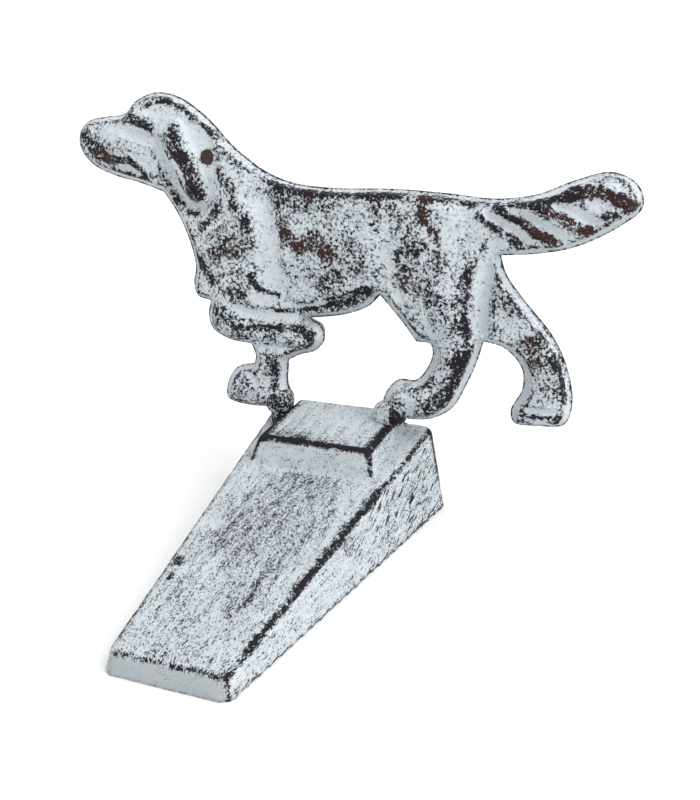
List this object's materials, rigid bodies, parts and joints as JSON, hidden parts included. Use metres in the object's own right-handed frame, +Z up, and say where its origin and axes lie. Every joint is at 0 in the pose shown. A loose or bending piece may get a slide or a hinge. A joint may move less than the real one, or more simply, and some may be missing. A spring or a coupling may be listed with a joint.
{
  "type": "wedge door stop",
  "caption": "Cast-iron door wedge with a raised saddle, carrying an upright relief figure of a pointing setter across its heel.",
  "frame": {"origin": "middle of the overall box, on the floor under the wedge's rim", "axes": "+Z up, the wedge's tip points to -Y and goes under the door, the dog's nose points to -X and its tail to +X"},
  "size_m": [0.154, 0.105, 0.1106],
  "materials": {
    "wedge_paint": "white brushed paint over a dark brown ground, rubbed through to the ground along edges and high spots",
    "figure_paint": "white brushed paint over a dark brown ground, rubbed through on the relief's high spots",
    "bare_rivet": "unpainted rusty steel",
    "screw_steel": "dull zinc-plated steel"
  },
  "bodies": {
    "root": {"wedge_casting": "wedge_paint", "dog_front_half": "figure_paint", "dog_back_half": "figure_paint", "neck_rivet": "bare_rivet", "fore_foot_screw": "screw_steel", "hind_foot_screw": "screw_steel"}
  },
  "joints": []
}
